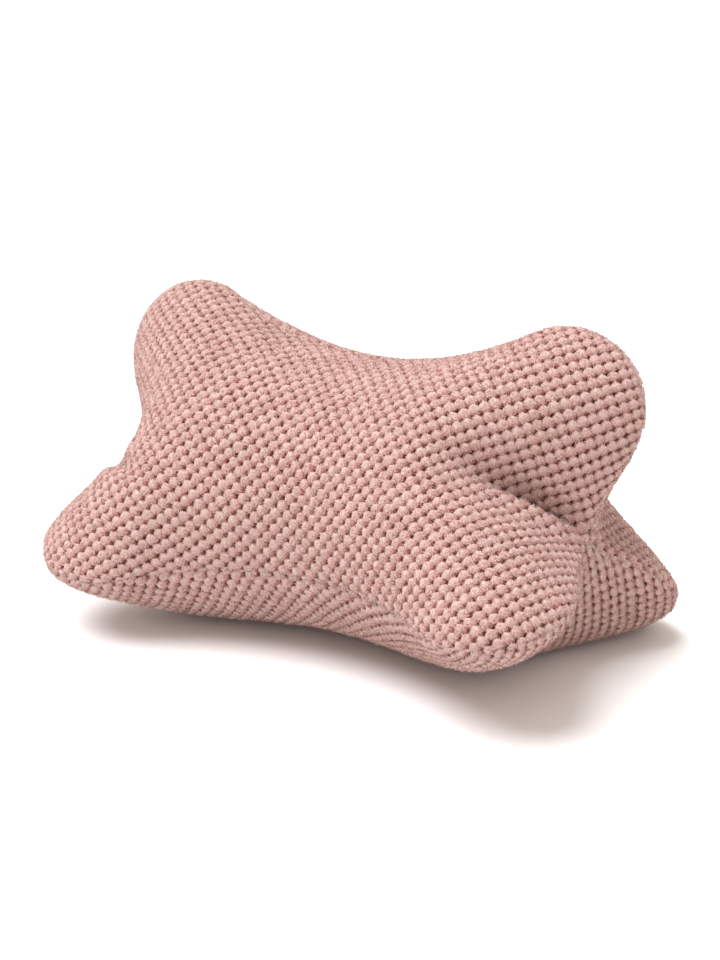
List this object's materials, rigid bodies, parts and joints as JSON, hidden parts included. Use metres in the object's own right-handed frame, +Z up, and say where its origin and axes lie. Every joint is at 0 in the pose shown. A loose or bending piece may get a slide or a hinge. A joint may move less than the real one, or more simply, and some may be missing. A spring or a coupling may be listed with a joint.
{
  "type": "bone-shaped reading pillow",
  "caption": "Soft stuffed pillow of bone-shaped plush panels with lobes at both ends and a drawn-in waist that holds a neck, a book or a tablet.",
  "frame": {"origin": "on the floor under the middle of the pillow's box", "axes": "+X along the pillow's length, -Y towards the front panel that the picture shows, +Z up"},
  "size_m": [0.4248, 0.2624, 0.2367],
  "materials": {
    "plush": "knitted chenille plush, matt with a soft sheen"
  },
  "bodies": {
    "root": {"pillow": "plush"}
  },
  "joints": []
}
